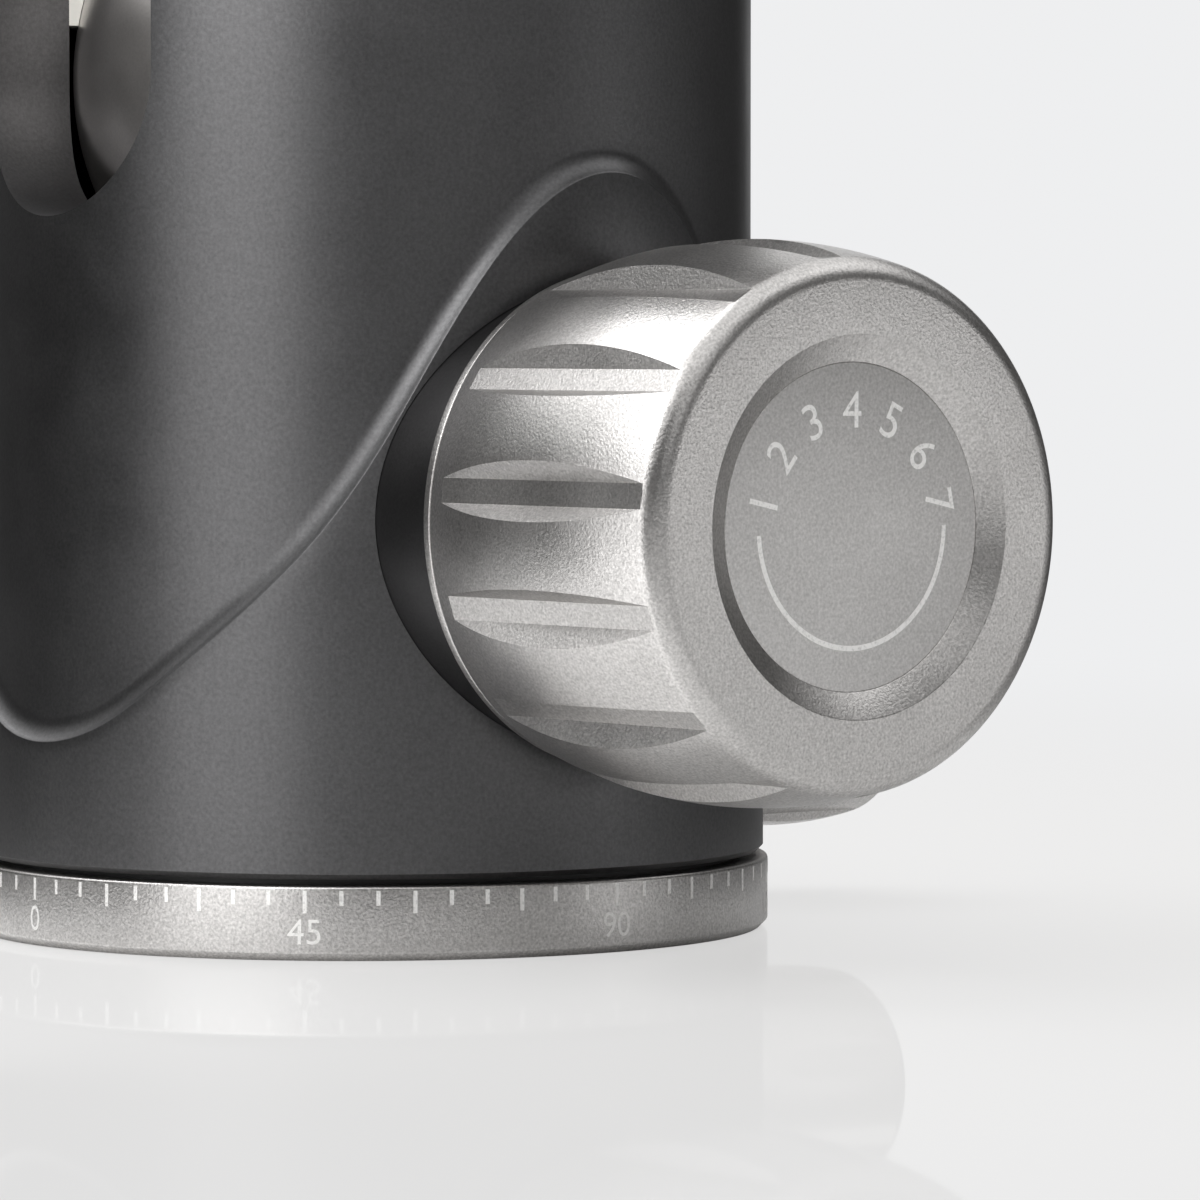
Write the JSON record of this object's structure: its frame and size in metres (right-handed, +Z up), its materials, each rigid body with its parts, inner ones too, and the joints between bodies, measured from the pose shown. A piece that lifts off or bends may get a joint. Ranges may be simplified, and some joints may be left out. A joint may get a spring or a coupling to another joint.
{
  "type": "tripod ball head",
  "caption": "ball head with panning base, tilting ball in a notched cylindrical housing, fluted lock knobs, internal wedge lock and a quick-release clamp on top",
  "frame": {"origin": "on the pan axis at the underside of the base, which is the mouth of the tripod socket", "axes": "+Z up along the pan axis, +X along the ball lock knob, -Y towards the drop notch"},
  "size_m": [0.1017, 0.0764, 0.1102],
  "materials": {
    "charcoal_anodised": "bead-blasted charcoal anodising",
    "black_anodised": "bead-blasted black anodising",
    "silver_anodised": "bead-blasted warm silver anodising",
    "silver_cap": "finely blasted silver disc with light print",
    "steel": "turned steel",
    "black_steel": "black oxide screws",
    "brass": "turned brass",
    "race_plastic": "low-friction plastic race",
    "bearing_plastic": "black low-friction plastic",
    "ball_coat": "hard anodised, finely turned",
    "vial": "clear green-yellow level vial"
  },
  "bodies": {
    "base": {"pan_base": "silver_anodised", "tripod_bushing": "steel", "pan_bearing_ring": "bearing_plastic", "thrust_washer": "brass", "retaining_plate": "steel", "retaining_screws": "black_steel"},
    "housing_body": {"housing": "charcoal_anodised", "core_block": "silver_anodised", "core_screws": "black_steel", "race_liner": "race_plastic", "piston_spring": "steel", "ball_lock_collar": "black_anodised", "ball_lock_bush": "brass", "ball_lock_collar_screws": "black_steel", "friction_collar": "black_anodised", "friction_bush": "brass", "pan_lock_collar": "black_anodised", "pan_lock_bush": "brass"},
    "ball_lock_control": {"ball_lock_knob": "silver_anodised", "ball_lock_cap": "silver_cap", "ball_lock_backplate": "silver_anodised", "ball_lock_screw": "black_steel", "ball_lock_spindle": "steel"},
    "ball_lock_nut": {"ball_lock_wedge": "brass"},
    "piston": {"lift_piston": "steel"},
    "friction_control": {"friction_knob": "silver_anodised", "friction_cap": "silver_cap", "friction_backplate": "silver_anodised", "friction_screw": "black_steel", "friction_spindle": "steel"},
    "friction_nut": {"friction_wedge": "brass"},
    "pan_lock_control": {"pan_lock_knob": "silver_anodised", "pan_lock_cap": "silver_cap", "pan_lock_backplate": "silver_anodised", "pan_lock_screw": "black_steel", "pan_lock_spindle": "steel"},
    "pan_lock_brake": {"pan_lock_shoe": "brass"},
    "lower_seat": {"ball_cup": "race_plastic"},
    "tilting_ball": {"ball": "ball_coat"},
    "platform": {"stem": "black_anodised", "clamp_body": "black_anodised", "clamp_bolt": "black_steel", "level_cup": "brass", "level_vial": "vial"},
    "moving_jaw": {"clamp_jaw": "black_anodised", "clamp_guide_pins": "steel"},
    "clamp_control": {"clamp_knob": "silver_anodised", "clamp_cap": "silver_cap", "clamp_backplate": "silver_anodised", "clamp_screw": "black_steel", "clamp_spindle": "steel"}
  },
  "joints": [
    {"name": "pan", "type": "hinge", "parent": "base", "child": "housing_body", "pos_m": [0, 0, 0], "axis": [0, 0, 1], "continuous": true},
    {"name": "ball_lock_turn", "type": "hinge", "parent": "housing_body", "child": "ball_lock_control", "pos_m": [0.0303, 0, 0.03115], "axis": [1, 0, 0], "range_deg": [0, 300]},
    {"name": "ball_lock_wedge_slide", "type": "slide", "parent": "housing_body", "child": "ball_lock_nut", "axis": [1, 0, 0], "range_m": [0, 0.00085]},
    {"name": "piston_lift", "type": "slide", "parent": "housing_body", "child": "piston", "axis": [0, 0, 1], "range_m": [-0.00026, 0], "deforming": ["piston_spring"]},
    {"name": "friction_turn", "type": "hinge", "parent": "housing_body", "child": "friction_control", "pos_m": [-0.0303, 0, 0.03115], "axis": [-1, 0, 0], "range_deg": [0, 300]},
    {"name": "friction_wedge_slide", "type": "slide", "parent": "housing_body", "child": "friction_nut", "axis": [-1, 0, 0], "range_m": [0, 0.00085]},
    {"name": "pan_lock_turn", "type": "hinge", "parent": "housing_body", "child": "pan_lock_control", "pos_m": [0, 0.0303, 0.0148], "axis": [0, 1, 0], "range_deg": [0, 300]},
    {"name": "pan_lock_shoe_slide", "type": "slide", "parent": "housing_body", "child": "pan_lock_brake", "axis": [0, 1, 0], "range_m": [0, 0.00085]},
    {"name": "ball_swivel", "type": "hinge", "parent": "housing_body", "child": "lower_seat", "pos_m": [0, 0, 0.0632], "axis": [0, 0, 1], "range_deg": [0, 360]},
    {"name": "ball_tilt", "type": "hinge", "parent": "lower_seat", "child": "tilting_ball", "pos_m": [0, 0, 0.0632], "axis": [1, 0, 0], "range_deg": [-30, 90]},
    {"name": "platform_spin", "type": "hinge", "parent": "tilting_ball", "child": "platform", "pos_m": [0, 0, 0.0632], "axis": [0, 0, 1], "continuous": true},
    {"name": "jaw_slide", "type": "slide", "parent": "platform", "child": "moving_jaw", "axis": [1, 0, 0], "range_m": [0, 0.005]},
    {"name": "clamp_turn", "type": "hinge", "parent": "moving_jaw", "child": "clamp_control", "pos_m": [0.0273, 0, 0.1009], "axis": [1, 0, 0], "range_deg": [0, 1800]}
  ],
  "couplings": [
    {"joint": "ball_lock_wedge_slide", "follows": "ball_lock_turn", "m_per_rad": 0.00015915},
    {"joint": "piston_lift", "follows": "ball_lock_turn", "m_per_rad": -0.000047746},
    {"joint": "friction_wedge_slide", "follows": "friction_turn", "m_per_rad": 0.00015915},
    {"joint": "pan_lock_shoe_slide", "follows": "pan_lock_turn", "m_per_rad": 0.00015915},
    {"joint": "jaw_slide", "follows": "clamp_turn", "m_per_rad": 0.00015915}
  ]
}
